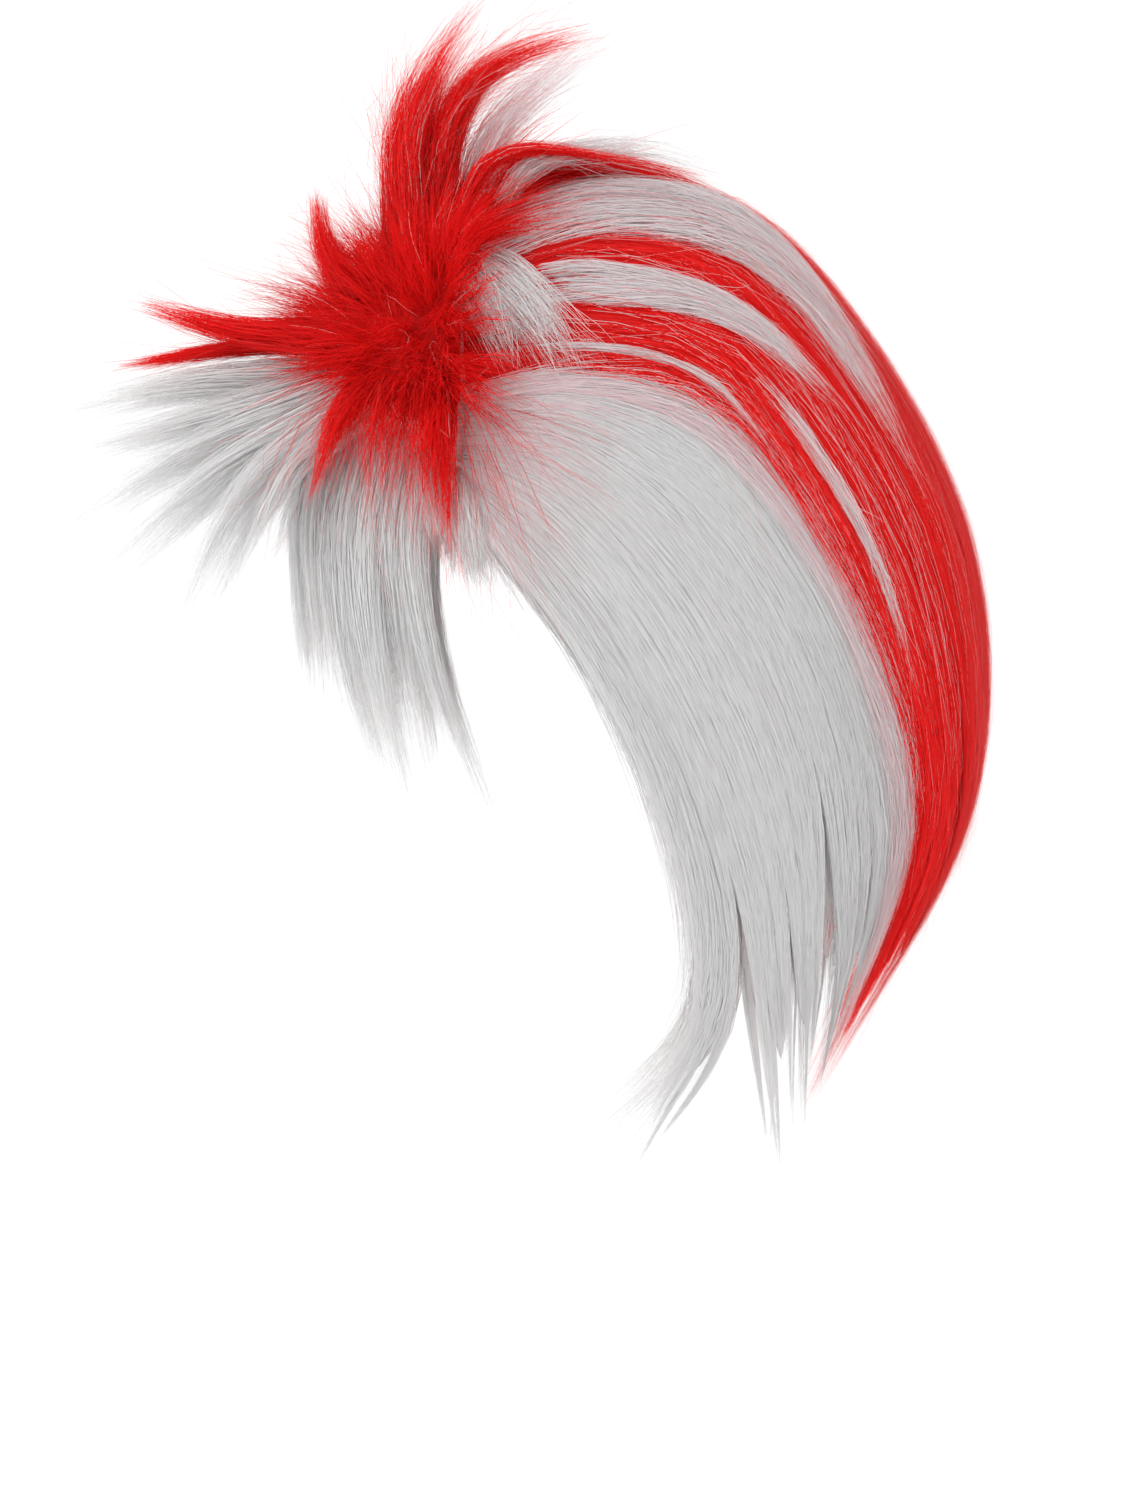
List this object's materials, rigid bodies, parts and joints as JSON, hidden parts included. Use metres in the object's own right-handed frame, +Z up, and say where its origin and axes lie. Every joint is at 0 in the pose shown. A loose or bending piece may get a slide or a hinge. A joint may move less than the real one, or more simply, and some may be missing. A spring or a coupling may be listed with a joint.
{
  "type": "mullet wig",
  "caption": "Mullet wig of long red and white fake fur on a fabric cap, with an upright crown tuft, a forward spray, a fringe, striped back hair and long hanging sides.",
  "frame": {"origin": "where the top of the wearer's head touches the inside of the cap", "axes": "+Z up, the wearer faces -Y, +X is the wearer's left"},
  "size_m": [0.2074, 0.3967, 0.4944],
  "materials": {
    "red_fur": "long glossy red pile",
    "white_fur": "long white pile",
    "cap_fabric": "knitted white backing"
  },
  "bodies": {
    "root": {"cap": "cap_fabric", "front_fur": "red_fur", "front_spike": "red_fur", "front_flick": "red_fur", "top_tuft_red": "red_fur", "crown_sweep_red": "red_fur", "back_panel": "red_fur", "back_underlayer": "red_fur", "top_tuft_white": "white_fur", "crown_sweep_white_left": "white_fur", "crown_sweep_white_right": "white_fur", "front_spray": "white_fur", "fringe": "white_fur", "fringe_left": "white_fur", "fringe_right": "white_fur", "temple_lock_left": "white_fur", "temple_lock_right": "white_fur", "sideburn_left": "white_fur", "sideburn_right": "white_fur", "wisp_left": "white_fur", "wisp_right": "white_fur", "side_panel_left": "white_fur", "side_panel_right": "white_fur", "stripe_upper_left": "white_fur", "stripe_upper_right": "white_fur", "stripe_lower_left": "white_fur", "stripe_lower_right": "white_fur", "stripe_thin_left": "white_fur", "stripe_thin_right": "white_fur", "stripe_back_left": "white_fur", "stripe_back_right": "white_fur"}
  },
  "joints": []
}
